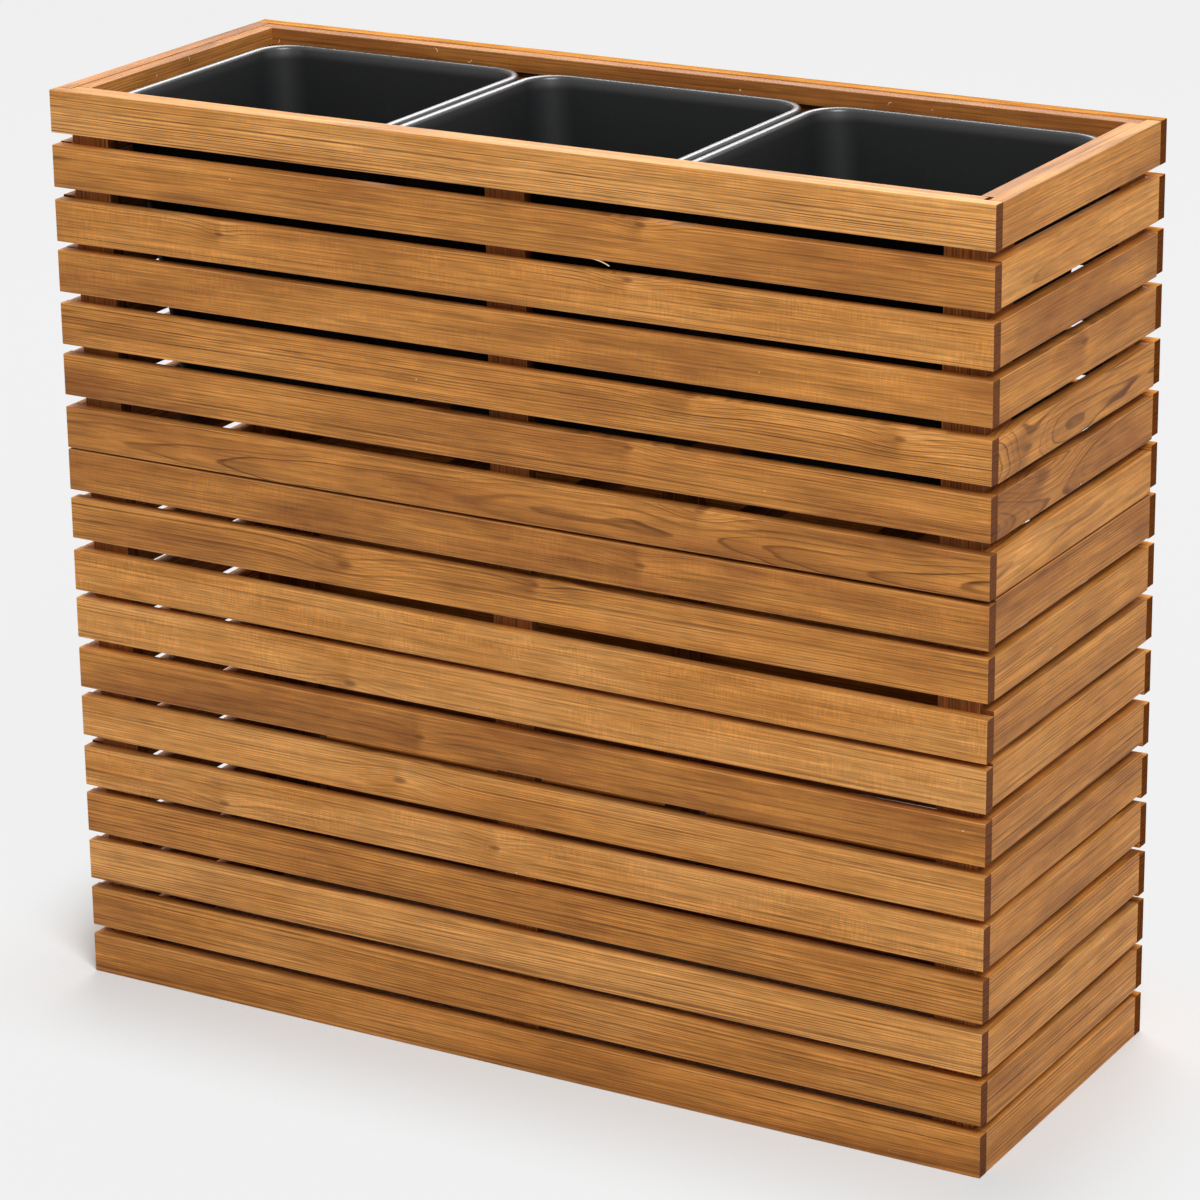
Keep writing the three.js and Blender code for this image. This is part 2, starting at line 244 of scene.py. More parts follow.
def board_tree():
    """Lays an eased board on every point, turned as the point says, and keeps its own place for the grain."""
    tree, given = layout_tree("planed_board", {
        "Boards": "Geometry", "Length": "Float", "Width": "Float", "Thickness": "Float", "Arris": "Float",
        "End Ease": "Float", "Wander": "Float", "Seed": "Float", "Steps": "Int", "Timber": "Material"})
    size = add(tree, "ShaderNodeCombineXYZ",
               {"X": given["Length"], "Y": given["Thickness"], "Z": given["Width"]})
    half = add(tree, "ShaderNodeVectorMath", {0: size, 3: 0.5}, operation="SCALE")
    inner = add(tree, "ShaderNodeVectorMath", {0: half, 1: given["End Ease"]}, operation="SUBTRACT")
    far_end = add(tree, "ShaderNodeVectorMath", {0: inner, 1: (1, 0, 0)}, operation="MULTIPLY")
    near_end = add(tree, "ShaderNodeVectorMath", {0: inner, 1: (-1, 0, 0)}, operation="MULTIPLY")
    path = add(tree, "GeometryNodeCurvePrimitiveLine", {"Start": near_end, "End": far_end})
    path = add(tree, "GeometryNodeResampleCurve", {"Curve": path, "Count": given["Steps"]})
    path = add(tree, "GeometryNodeSetCurveNormal", {"Curve": path}, mode="Z_UP")
    section = add(tree, "GeometryNodeCurvePrimitiveQuadrilateral",
                  {"Width": given["Thickness"], "Height": given["Width"]})
    section = add(tree, "GeometryNodeFilletCurve",
                  {"Curve": section, "Count": ARRIS_STEPS, "Radius": given["Arris"]}, mode="POLY")
    board = add(tree, "GeometryNodeCurveToMesh", {"Curve": path, "Profile Curve": section, "Fill Caps": True})

    facing = add(tree, "ShaderNodeSeparateXYZ", {0: add(tree, "GeometryNodeInputNormal")})
    facing = add(tree, "ShaderNodeMath", {0: facing.outputs["X"]}, operation="ABSOLUTE")
    ends = add(tree, "FunctionNodeCompare", {0: facing, 1: END_FACING}, operation="GREATER_THAN")
    board = add(tree, "GeometryNodeExtrudeMesh",
                {"Mesh": board, "Selection": ends, "Offset Scale": given["End Ease"], "Individual": True})
    drawn_in = add(tree, "ShaderNodeVectorMath", {0: inner, 1: half}, operation="DIVIDE")
    drawn_in = add(tree, "ShaderNodeVectorMath", {0: drawn_in, 1: (0, 1, 1), 2: (1, 0, 0)},
                   operation="MULTIPLY_ADD")
    here = add(tree, "GeometryNodeInputPosition")
    eased = add(tree, "ShaderNodeVectorMath", {0: here, 1: drawn_in}, operation="MULTIPLY")
    board = add(tree, "GeometryNodeSetPosition",
                {"Geometry": board, "Selection": board.outputs["Top"], "Position": eased})

    place = add(tree, "GeometryNodeInputPosition")
    board = add(tree, "GeometryNodeStoreNamedAttribute", {"Geometry": board, "Name": "place", "Value": place},
                data_type="FLOAT_VECTOR", domain="POINT")
    rounding = add(tree, "ShaderNodeMath", {0: given["Arris"], 1: ARRIS_MARKED}, operation="MULTIPLY")
    near_tip = add(tree, "ShaderNodeMath", {0: given["End Ease"], 1: TIP_MARKED}, operation="MULTIPLY")
    corner = add(tree, "ShaderNodeCombineXYZ", {"X": near_tip, "Y": rounding, "Z": rounding})
    flats = add(tree, "ShaderNodeVectorMath", {0: half, 1: corner}, operation="SUBTRACT")
    out = add(tree, "ShaderNodeVectorMath", {0: place}, operation="ABSOLUTE")
    out = add(tree, "ShaderNodeVectorMath", {0: out, 1: flats}, operation="SUBTRACT")
    out = add(tree, "ShaderNodeVectorMath", {0: out}, operation="SIGN")
    out = add(tree, "ShaderNodeVectorMath", {0: out, 1: (0, 0, 0)}, operation="MAXIMUM")
    out = add(tree, "ShaderNodeSeparateXYZ", {0: out})
    on_arris = add(tree, "ShaderNodeMath", {0: out.outputs["Y"], 1: out.outputs["Z"]}, operation="MULTIPLY")
    marks = add(tree, "ShaderNodeCombineXYZ", {"X": on_arris, "Y": out.outputs["X"]})
    board = add(tree, "GeometryNodeStoreNamedAttribute", {"Geometry": board, "Name": "marks", "Value": marks},
                data_type="FLOAT_VECTOR", domain="POINT")

    laid, turn = on_points(tree, given["Boards"], board, "full")
    own_place = add(tree, "GeometryNodeInputNamedAttribute", {"Name": "place"}, data_type="FLOAT_VECTOR")
    stretched = add(tree, "ShaderNodeVectorMath", {0: own_place, 1: (WAVES_PER_METRE, 0, 0)},
                    operation="MULTIPLY")
    look = add(tree, "GeometryNodeInputNamedAttribute", {"Name": "look"}, data_type="FLOAT_VECTOR")
    look = add(tree, "ShaderNodeSeparateXYZ", {0: look})
    shift = add(tree, "ShaderNodeMath", {0: look.outputs["Y"], 1: given["Seed"]}, operation="ADD")
    wave = add(tree, "ShaderNodeTexNoise", {"Vector": stretched, "W": shift, "Scale": 1.0, "Detail": 1.0},
               noise_dimensions="4D")
    wave = add(tree, "ShaderNodeMath", {0: wave, 1: 0.5}, operation="SUBTRACT")
    wave = add(tree, "ShaderNodeMath", {0: wave, 1: given["Wander"]}, operation="MULTIPLY")
    bow = add(tree, "ShaderNodeCombineXYZ", {"Z": wave})
    bow = add(tree, "FunctionNodeRotateVector", {"Vector": bow, "Rotation": turn})
    laid = add(tree, "GeometryNodeSetPosition", {"Geometry": laid, "Offset": bow})
    laid = add(tree, "GeometryNodeSetMaterial", {"Geometry": laid, "Material": given["Timber"]})
    add(tree, "NodeGroupOutput", {0: laid})
    return tree


# A knot is drawn out along the board. It pushes the rings aside and has a dark heart, and beside it a painted
# sheen makes the turned fibres darker on its one side and paler on the other. Reaches are counted in knot
# sizes from its middle.
KNOT_SHAPE = (0.42, 0.0, 1.0)
KNOT_FALL = -0.32
KNOT_PUSH = 0.8
SMALLEST_KNOT = 0.5 * MM
DIP_REACH = (-0.35, 0.3)
DIP_SHEEN_TONES = (-0.9, 0.5)
HEART_REACH = (0.42, 0.12)


def knot_nodes(tree, place, name):
    """How far a knot pushes the rings outwards, the painted sheen of the bent fibres beside it, and where its
    heart is.
    """
    knot = add(tree, "ShaderNodeAttribute", attribute_name=name)
    knot = add(tree, "ShaderNodeSeparateXYZ", {0: knot.outputs["Vector"]})
    centre = add(tree, "ShaderNodeCombineXYZ", {"X": knot.outputs["X"], "Z": knot.outputs["Y"]})
    size = add(tree, "ShaderNodeMath", {0: knot.outputs["Z"], 1: 0.1 * MM}, operation="MAXIMUM")
    away = add(tree, "ShaderNodeVectorMath", {0: place, 1: centre}, operation="SUBTRACT")
    away = add(tree, "ShaderNodeVectorMath", {0: away, 1: KNOT_SHAPE}, operation="MULTIPLY")
    per_size = add(tree, "ShaderNodeMath", {0: 1.0, 1: size}, operation="DIVIDE")
    away = add(tree, "ShaderNodeVectorMath", {0: away, 3: per_size}, operation="SCALE")
    along = add(tree, "ShaderNodeSeparateXYZ", {0: away}).outputs["X"]
    away = add(tree, "ShaderNodeVectorMath", {0: away}, operation="LENGTH").outputs["Value"]
    square = add(tree, "ShaderNodeMath", {0: away, 1: away}, operation="MULTIPLY")
    fall = add(tree, "ShaderNodeMath", {0: square, 1: KNOT_FALL}, operation="MULTIPLY")
    swell = add(tree, "ShaderNodeMath", {0: fall}, operation="EXPONENT")
    push = add(tree, "ShaderNodeMath", {0: swell, 1: knot.outputs["Z"]}, operation="MULTIPLY")
    push = add(tree, "ShaderNodeMath", {0: push, 1: KNOT_PUSH}, operation="MULTIPLY")
    real = add(tree, "ShaderNodeMath", {0: knot.outputs["Z"], 1: SMALLEST_KNOT}, operation="GREATER_THAN")
    # The painted sheen beside the knot: darker on its one side and paler on the other.
    side = add(tree, "ShaderNodeMapRange", {0: along, 1: DIP_REACH[0], 2: DIP_REACH[1], 3: DIP_SHEEN_TONES[0],
                                            4: DIP_SHEEN_TONES[1]}, interpolation_type="SMOOTHSTEP")
    dip_sheen = add(tree, "ShaderNodeMath", {0: swell, 1: side}, operation="MULTIPLY")
    dip_sheen = add(tree, "ShaderNodeMath", {0: dip_sheen, 1: real}, operation="MULTIPLY")
    heart = add(tree, "ShaderNodeMapRange", {0: away, 1: HEART_REACH[0], 2: HEART_REACH[1], 3: 0.0, 4: 1.0},
                interpolation_type="SMOOTHSTEP")
    heart = add(tree, "ShaderNodeMath", {0: heart, 1: real}, operation="MULTIPLY")
    return push, dip_sheen, heart


# Thermally treated Scots pine, planed and oiled: honey brown, with fine dark late-wood lines, arrises made
# paler for wear and for a painted highlight, and dark ends. The rings are drawn about each board's own pith,
# so that they run right through it.
# Real fibres and resin canals are finer than a pixel, so they are drawn about a millimetre apart.
PINE_PALE = "#EBAA60"
PINE_MIDDLE = "#D18D43"
PINE_BROWN = "#9C5F2A"
LATE_WOOD = "#70401A"
KNOT_HEART = "#5E3113"
# The arris colour is partly worn wood and partly a painted highlight.
ARRIS_WEAR_AND_HIGHLIGHT = "#E6B078"
END_GRAIN = "#874C22"
END_GRAIN_DARK = "#552D11"
SPECK_COLOUR = "#EBCB9E"
STREAK_PITCH = 2.4 * MM
FIBRE_PITCH = 1.3 * MM
PLANER_PITCH = 1.7 * MM
CANAL_PITCH = 1.1 * MM
FIBRE_WAVER = 0.9 * MM
# The years differ in width and in strength. The pale part darkens a little until the late wood sets in.
YEAR_SPREAD = 2.4
YEAR_RHYTHM = 0.31
WEAKEST_YEAR = 0.3
SUMMER_SHADE = 0.25
YEAR_END = 0.92
LATE_FADE = (0.55, 1.15)
CLOUD_TONES = 0.75
# How strongly the painted sheen beside the knots shifts the tone and the brightness.
KNOT_SHEEN_TONE = 0.5
KNOT_SHEEN_SHADE = 0.12
HEART_SHARE = 0.6
STREAK_SHADES = (0.81, 1.18)
PATCH_SHADES = (0.9, 1.1)
FIBRE_SHADE = 0.13
PLANER_SHADE = 0.085
CANAL_SHADE = -0.18
SPECK_SPREAD = (45, 60, 60)
SPECK_SIZE = 0.05
WEAR_AND_HIGHLIGHT_SHARE = 0.6
GRAIN_DEPTH = 0.25 * MM
GRAIN_STRENGTH = 0.4
PLANED_ROUGHNESS = (0.52, 0.68)
SAWN_ROUGHER = 0.25
OILED_SHINE = 0.25
DRY_SHINE = 0.0


def timber_material(name, shine):
    """Growth rings, fibres, knots, planer marks and end grain from each board's own place."""
    material, tree = new_material(name)
    place, pith, drift, look, rings, marks = (
        add(tree, "ShaderNodeAttribute", attribute_name=label).outputs["Vector"]
        for label in ("place", "pith", "drift", "look", "rings", "marks"))
    tone, shift, chatter = add(tree, "ShaderNodeSeparateXYZ", {0: look}).outputs
    spacing, late_part, darkness = add(tree, "ShaderNodeSeparateXYZ", {0: rings}).outputs
    arris, tip = add(tree, "ShaderNodeSeparateXYZ", {0: marks}).outputs[:2]
    lean_y, lean_z, waver = add(tree, "ShaderNodeSeparateXYZ", {0: drift}).outputs
    along = add(tree, "ShaderNodeSeparateXYZ", {0: place}).outputs["X"]

    def mottle(stretch, detail=2.0, roughness=0.5):
        """Noise of the board's own, with so many waves to the metre along, through and across it."""
        at = add(tree, "ShaderNodeVectorMath", {0: place, 1: stretch}, operation="MULTIPLY")
        return add(tree, "ShaderNodeTexNoise", {"Vector": at, "W": shift, "Scale": 1.0, "Detail": detail,
                                                "Roughness": roughness}, noise_dimensions="4D")

    def wobble(noise, reach):
        """Turns a noise colour into an offset about nought."""
        middle = add(tree, "ShaderNodeVectorMath", {0: noise.outputs["Color"], 1: (0.5, 0.5, 0.5)},
                     operation="SUBTRACT")
        return add(tree, "ShaderNodeVectorMath", {0: middle, 3: reach}, operation="SCALE")

    lean = add(tree, "ShaderNodeCombineXYZ", {"Y": lean_y, "Z": lean_z})
    lean = add(tree, "ShaderNodeVectorMath", {0: lean, 3: along}, operation="SCALE")
    from_pith = add(tree, "ShaderNodeVectorMath", {0: place, 1: pith}, operation="SUBTRACT")
    for offset in (lean, wobble(mottle((3.6, 14, 14), 2.0, 0.45), waver),
                   wobble(mottle((9, 150, 150), 1.0), FIBRE_WAVER)):
        from_pith = add(tree, "ShaderNodeVectorMath", {0: from_pith, 1: offset}, operation="SUBTRACT")
    from_pith = add(tree, "ShaderNodeVectorMath", {0: from_pith, 1: (0, 1, 1)}, operation="MULTIPLY")
    radius = add(tree, "ShaderNodeVectorMath", {0: from_pith}, operation="LENGTH").outputs["Value"]
    push_a, dip_sheen_a, heart_a = knot_nodes(tree, place, "knot_a")
    push_b, dip_sheen_b, heart_b = knot_nodes(tree, place, "knot_b")
    for push in (push_a, push_b):
        radius = add(tree, "ShaderNodeMath", {0: radius, 1: push}, operation="ADD")
    heart = add(tree, "ShaderNodeMath", {0: heart_a, 1: heart_b}, operation="MAXIMUM")
    dip_sheen = add(tree, "ShaderNodeMath", {0: dip_sheen_a, 1: dip_sheen_b}, operation="ADD")

    years = add(tree, "ShaderNodeMath", {0: radius, 1: spacing}, operation="DIVIDE")
    uneven = add(tree, "ShaderNodeMath", {0: years, 1: YEAR_RHYTHM, 2: shift}, operation="MULTIPLY_ADD")
    uneven = add(tree, "ShaderNodeTexNoise", {"W": uneven, "Scale": 1.0, "Detail": 1.0},
                 noise_dimensions="1D")
    years = add(tree, "ShaderNodeMath", {0: uneven, 1: YEAR_SPREAD, 2: years}, operation="MULTIPLY_ADD")
    season = add(tree, "ShaderNodeMath", {0: years}, operation="FRACT")
    year = add(tree, "ShaderNodeMath", {0: years}, operation="FLOOR")
    year = add(tree, "ShaderNodeMath", {0: year, 1: shift}, operation="ADD")
    strength = add(tree, "ShaderNodeTexWhiteNoise", {"W": year}, noise_dimensions="1D")
    strength = add(tree, "ShaderNodeMapRange", {0: strength, 1: 0.0, 2: 1.0, 3: WEAKEST_YEAR, 4: 1.0})
    onset = add(tree, "ShaderNodeMath", {0: late_part, 1: -1.5, 2: 1.0}, operation="MULTIPLY_ADD")
    dark_from = add(tree, "ShaderNodeMath", {0: late_part, 1: -0.7, 2: 1.0}, operation="MULTIPLY_ADD")
    summer = add(tree, "ShaderNodeMapRange", {0: season, 1: 0.1, 2: dark_from, 3: 0.0, 4: SUMMER_SHADE},
                 interpolation_type="SMOOTHSTEP")
    rise = add(tree, "ShaderNodeMapRange", {0: season, 1: onset, 2: dark_from, 3: 0.0, 4: 1 - SUMMER_SHADE},
               interpolation_type="SMOOTHSTEP")
    drop = add(tree, "ShaderNodeMapRange", {0: season, 1: YEAR_END, 2: 1.0, 3: 1.0, 4: 0.0},
               interpolation_type="SMOOTHSTEP")
    fade = mottle((11, 110, 110), 2.0)
    fade = add(tree, "ShaderNodeMapRange", {0: fade, 1: 0.34, 2: 0.62, 3: LATE_FADE[0], 4: LATE_FADE[1]})
    late = add(tree, "ShaderNodeMath", {0: summer, 1: rise}, operation="ADD")
    for factor in (drop, strength, darkness, fade):
        late = add(tree, "ShaderNodeMath", {0: late, 1: factor}, operation="MULTIPLY")

    streaks = mottle((5, 1 / STREAK_PITCH, 1 / STREAK_PITCH), 2.0, 0.6)
    fibre = mottle((24, 1 / FIBRE_PITCH, 1 / FIBRE_PITCH), 1.0, 0.5)
    cloud = mottle((5, 26, 26), 3.0, 0.6)
    patch = mottle((26, 70, 70), 2.0)
    planer = mottle((1 / PLANER_PITCH, 90, 90), 1.0)
    planer = add(tree, "ShaderNodeMapRange", {0: planer, 1: 0.4, 2: 0.6, 3: -1.0, 4: 1.0})
    planed_rough = add(tree, "ShaderNodeMapRange", {0: patch, 1: 0.42, 2: 0.62, 3: 0.1, 4: 1.0})
    for factor in (planed_rough, chatter):
        planer = add(tree, "ShaderNodeMath", {0: planer, 1: factor}, operation="MULTIPLY")

    warmth = add(tree, "ShaderNodeMapRange", {0: cloud, 1: 0.3, 2: 0.7, 3: -CLOUD_TONES, 4: CLOUD_TONES})
    warmth = add(tree, "ShaderNodeMath", {0: warmth, 1: tone}, operation="ADD")
    # The painted sheen beside each knot shifts the tone darker on its one side and paler on the other.
    warmth = add(tree, "ShaderNodeMath", {0: dip_sheen, 1: KNOT_SHEEN_TONE, 2: warmth}, operation="MULTIPLY_ADD")
    pale_share = add(tree, "ShaderNodeMapRange", {0: warmth, 1: -1.2, 2: 1.2, 3: 0.0, 4: 1.0})
    early = add(tree, "ShaderNodeValToRGB", {0: pale_share})
    ramp = early.color_ramp
    ramp.elements[0].color = hex_colour(PINE_BROWN)
    ramp.elements[1].color = hex_colour(PINE_PALE)
    ramp.elements.new(0.5).color = hex_colour(PINE_MIDDLE)
    wood = add(tree, "ShaderNodeMix", {0: late, 6: early, 7: hex_colour(LATE_WOOD)},
               data_type="RGBA").outputs[2]
    streak = add(tree, "ShaderNodeMapRange", {0: streaks, 1: 0.33, 2: 0.67, 3: STREAK_SHADES[0],
                                              4: STREAK_SHADES[1]})
    thread = add(tree, "ShaderNodeMapRange", {0: fibre, 1: 0.35, 2: 0.65, 3: -FIBRE_SHADE, 4: FIBRE_SHADE})
    streak = add(tree, "ShaderNodeMath", {0: streak, 1: thread}, operation="ADD")
    streak = add(tree, "ShaderNodeMath", {0: planer, 1: PLANER_SHADE, 2: streak}, operation="MULTIPLY_ADD")
    canal = mottle((40, 1 / CANAL_PITCH, 1 / CANAL_PITCH), 0.0)
    canal = add(tree, "ShaderNodeMapRange", {0: canal, 1: 0.61, 2: 0.7, 3: 0.0, 4: CANAL_SHADE})
    streak = add(tree, "ShaderNodeMath", {0: streak, 1: canal}, operation="ADD")
    patchy = add(tree, "ShaderNodeMapRange", {0: patch, 1: 0.3, 2: 0.7, 3: PATCH_SHADES[0],
                                              4: PATCH_SHADES[1]})
    streak = add(tree, "ShaderNodeMath", {0: streak, 1: patchy}, operation="MULTIPLY")
    # The same painted sheen darkens and brightens the wood beside the knots, on top of the grain's own
    # streaks.
    grain_and_sheen = add(tree, "ShaderNodeMath", {0: dip_sheen, 1: KNOT_SHEEN_SHADE, 2: streak}, operation="MULTIPLY_ADD")
    wood = add(tree, "ShaderNodeVectorMath", {0: wood, 3: grain_and_sheen}, operation="SCALE")
    heart = add(tree, "ShaderNodeMath", {0: heart, 1: HEART_SHARE}, operation="MULTIPLY")
    dots = add(tree, "ShaderNodeVectorMath", {0: place, 1: SPECK_SPREAD}, operation="MULTIPLY")
    dots = add(tree, "ShaderNodeTexVoronoi", {"Vector": dots, "W": shift, "Scale": 1.0},
               voronoi_dimensions="4D")
    dot = add(tree, "ShaderNodeMath", {0: dots.outputs["Distance"], 1: SPECK_SIZE}, operation="LESS_THAN")
    # The arrises are paler where worn, and this paleness is also a painted highlight along every eased edge.
    wear_and_highlight = add(tree, "ShaderNodeMath", {0: arris, 1: fibre}, operation="MULTIPLY")
    wear_and_highlight = add(tree, "ShaderNodeMath", {0: wear_and_highlight, 1: WEAR_AND_HIGHLIGHT_SHARE}, operation="MULTIPLY")
    sawn = add(tree, "ShaderNodeMath", {0: late, 1: fibre}, operation="ADD")
    sawn = add(tree, "ShaderNodeMix", {0: sawn, 6: hex_colour(END_GRAIN), 7: hex_colour(END_GRAIN_DARK)},
               data_type="RGBA").outputs[2]
    for share, colour in ((heart, hex_colour(KNOT_HEART)), (dot, hex_colour(SPECK_COLOUR)),
                          (wear_and_highlight, hex_colour(ARRIS_WEAR_AND_HIGHLIGHT)), (tip, sawn)):
        wood = add(tree, "ShaderNodeMix", {0: share, 6: wood, 7: colour}, data_type="RGBA").outputs[2]

    relief = add(tree, "ShaderNodeMath", {0: late, 1: -0.5, 2: fibre}, operation="MULTIPLY_ADD")
    relief = add(tree, "ShaderNodeMath", {0: planer, 1: 0.1, 2: relief}, operation="MULTIPLY_ADD")
    bump = add(tree, "ShaderNodeBump", {
        "Height": relief, "Strength": GRAIN_STRENGTH, "Distance": GRAIN_DEPTH})
    rough = add(tree, "ShaderNodeMapRange", {0: fibre, 1: 0.3, 2: 0.7, 3: PLANED_ROUGHNESS[0],
                                             4: PLANED_ROUGHNESS[1]})
    rough = add(tree, "ShaderNodeMath", {0: tip, 1: SAWN_ROUGHER, 2: rough}, operation="MULTIPLY_ADD")
    skin = add(tree, "ShaderNodeBsdfPrincipled", {"Base Color": wood, "Roughness": rough, "Normal": bump,
                                                  "IOR": 1.5, "Specular IOR Level": shine})
    add(tree, "ShaderNodeOutputMaterial", {"Surface": skin})
    return material


PINE = timber_material("heat_treated_pine", OILED_SHINE)
DRY_PINE = timber_material("unoiled_pine", DRY_SHINE)
USUAL_CHATTER = 0.4


def sawn_board(rng, cut, tone, centre, turn, knots=(), rings=None, chatter=USUAL_CHATTER, full=1):
    """Where a board lies and how it was sawn: rift, well away from the pith, or flat, close under it."""
    if cut == "rift":
        pith = (0, rng.uniform(-15, 15) * MM, rng.choice((-1, 1)) * rng.uniform(70, 150) * MM)
        drift = (rng.uniform(-6, 6) * MM, rng.uniform(-9, 9) * MM, rng.uniform(3, 6) * MM)
        usual = (rng.uniform(2.4, 3.4), rng.uniform(0.3, 0.42), rng.uniform(0.6, 0.85))
    else:
        pith = (0, rng.uniform(12, 30) * MM, rng.uniform(-9, 9) * MM)
        drift = (rng.choice((-1, 1)) * rng.uniform(18, 30) * MM, rng.uniform(-10, 10) * MM,
                 rng.uniform(12, 20) * MM)
        usual = (rng.uniform(2.6, 3.6), rng.uniform(0.18, 0.26), 0.9)
    spacing, late, darkness = rings or usual
    spots = [tuple(part * MM for part in knot) for knot in knots] + [(0, 0, 0)] * 2
    return {"centre": centre, "turn": turn, "full": (1, 1, full), "pith": pith, "drift": drift,
            "look": (tone, rng.uniform(0, 90), chatter), "rings": (spacing * MM, late, darkness),
            "knot_a": spots[0], "knot_b": spots[1]}


def laid_out(name, spots, looks, tree, values):
    """A plain mesh of what the tree lays on the spots, whose looks go with their points as attributes."""
    points = bpy.data.meshes.new(name)
    points.from_pydata([spot["centre"] for spot in spots], [], [])
    for look in looks:
        attribute = points.attributes.new(look, "FLOAT_VECTOR", "POINT")
        attribute.data.foreach_set("vector", [part for spot in spots for part in spot[look]])
    layout = new_object(name + "_layout", points)
    modifier = layout.modifiers.new("layout", "NODES")
    modifier.node_group = tree
    for item in tree.interface.items_tree:
        if item.in_out == "INPUT" and item.name in values:
            modifier[item.identifier] = values[item.name]
    depsgraph = bpy.context.evaluated_depsgraph_get()
    mesh = bpy.data.meshes.new_from_object(layout.evaluated_get(depsgraph), preserve_all_data_layers=True,
                                           depsgraph=depsgraph)
    bpy.data.objects.remove(layout)
    mesh.name = name
    return new_object(name, mesh)


def lay_boards(name, boards, length, width, thickness, steps, arris=ARRIS, timber=PINE):
    """One mesh of boards of a size, each where and as its own row says."""
    piece = laid_out(name, boards, BOARD_LOOKS, BOARD_TREE, {
        "Length": length, "Width": width - WANDER, "Thickness": thickness, "Arris": arris,
        "End Ease": END_EASE, "Wander": WANDER, "Seed": BOARD_SEED, "Steps": steps, "Timber": timber})
    piece.data.shade_smooth()
    piece.data.set_sharp_from_angle(angle=SHARP_ANGLE)
    return piece


def middle(node):
    """The middle of a node's box."""
    low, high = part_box(node)
    return (low + high) / 2


def slope(node):
    """How far a long slat leans, from the heights of its two ends."""
    corners = [v.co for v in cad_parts[node].data.vertices]
    right_end = [c.z for c in corners if c.x > 0]
    left_end = [c.z for c in corners if c.x < 0]
    rise = (max(right_end) + min(right_end) - max(left_end) - min(left_end)) / 2
    return math.atan2(rise, SLAT_LENGTH)


BOARD_TREE = board_tree()

# The rows count from the top. A tone is how pale a board is, a knot is its place and size in millimetres,
# rings are their spacing in millimetres, the late wood's part of it and how dark that is, and chatter is how
# plainly the planer's marks show.
# The front tones are partly each board's own paleness and partly painted light: the lower rows are paler, to
# make up for the lamp's fall-off down the front.
FRONT_TONES_AND_LIGHT = (0.8, -0.43, -0.02, -0.2, -0.05, -0.3, -0.45, -0.63, -0.25, 0.25, 0.55, -0.6, 0.45, 0.65, -0.2,
               0.85, 0.07, -0.13)
FRONT_FLAT_SAWN = (7,)
FRONT_KNOTS = {
    2: ((151, 17, 8),),
    3: ((137, 17, 8), (-308, 8, 7)),
    5: ((200, 22, 11), (411, 10, 9)),
    6: ((136, 15, 8),),
    7: ((210, 20, 9),),
    8: ((147, 3, 9),),
    9: ((-178, 2, 13), (34, 16, 7)),
    11: ((-176, -14, 10),),
    12: ((-98, -3, 9),),
    13: ((-122, 0, 11),),
    14: ((-330, -10, 9), (-16, 2, 9)),
}
FRONT_RINGS = {
    1: (2.8, 0.34, 1.0),
    2: (2.6, 0.36, 0.55),
    3: (2.4, 0.36, 0.6),
    4: (2.5, 0.4, 0.5),
    5: (3.0, 0.32, 0.9),
    6: (2.8, 0.34, 0.95),
    7: (3.2, 0.18, 1.0),
    8: (2.6, 0.36, 0.6),
    9: (2.9, 0.32, 0.85),
    10: (2.4, 0.4, 0.5),
    11: (3.0, 0.3, 0.55),
    12: (2.6, 0.36, 0.5),
}
FRONT_CHATTER = {3: 1.0, 4: 0.8, 8: 0.7, 10: 1.1, 11: 0.9, 14: 0.9}


def long_row(name, side, tones, flat_sawn, knots, rings, chatter, full, arris, timber, seed):
    """The slats of the front or the back, where the frame has them."""
    rng = random.Random(seed)
    nodes = [f"{name}_{i:02d}" for i in range(1, SLAT_COUNT + 1)]
    boards = []
    for i, node in enumerate(nodes, 1):
        cut = "flat" if i in flat_sawn else "rift"
        turn = (0, -slope(node), 0) if side < 0 else (0, slope(node), math.pi)
        boards.append(sawn_board(rng, cut, tones[i - 1], middle(node), turn, knots.get(i, ()), rings.get(i),
                                 chatter.get(i, USUAL_CHATTER), full.get(i, 1)))
    piece = lay_boards(name + "s", boards, SLAT_LENGTH, SLAT_WIDTH, SLAT_THICKNESS, SLAT_STEPS, arris, timber)
    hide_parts(*nodes)
    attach(piece, "carcass")


long_row("front_slat", -1, FRONT_TONES_AND_LIGHT, FRONT_FLAT_SAWN, FRONT_KNOTS, FRONT_RINGS, FRONT_CHATTER, {}, ARRIS,
         PINE, seed=11)

# Three of the back boards are painted darker as shade where they show through the front gaps, and they are a
# little fuller than the others.
BACK_PAINTED_SHADE = {14: -0.8, 15: -1.1, 16: -1.5}
BACK_FULL = {14: 1.025, 15: 1.025, 16: 1.015}
back_rng = random.Random(5)
BACK_TONES = [BACK_PAINTED_SHADE.get(i + 1, back_rng.uniform(-0.5, 0.5)) for i in range(SLAT_COUNT)]
BACK_FLAT_SAWN = (4, 10, 16)
BACK_KNOTS = {3: ((-240, 8, 9),), 8: ((120, -6, 11), (390, 12, 6)), 13: ((-60, 10, 8),)}
BACK_CHATTER = {2: 1.0, 9: 0.9}
long_row("back_slat", 1, BACK_TONES, BACK_FLAT_SAWN, BACK_KNOTS, {}, BACK_CHATTER, BACK_FULL, BACK_ARRIS,
         DRY_PINE, seed=23)


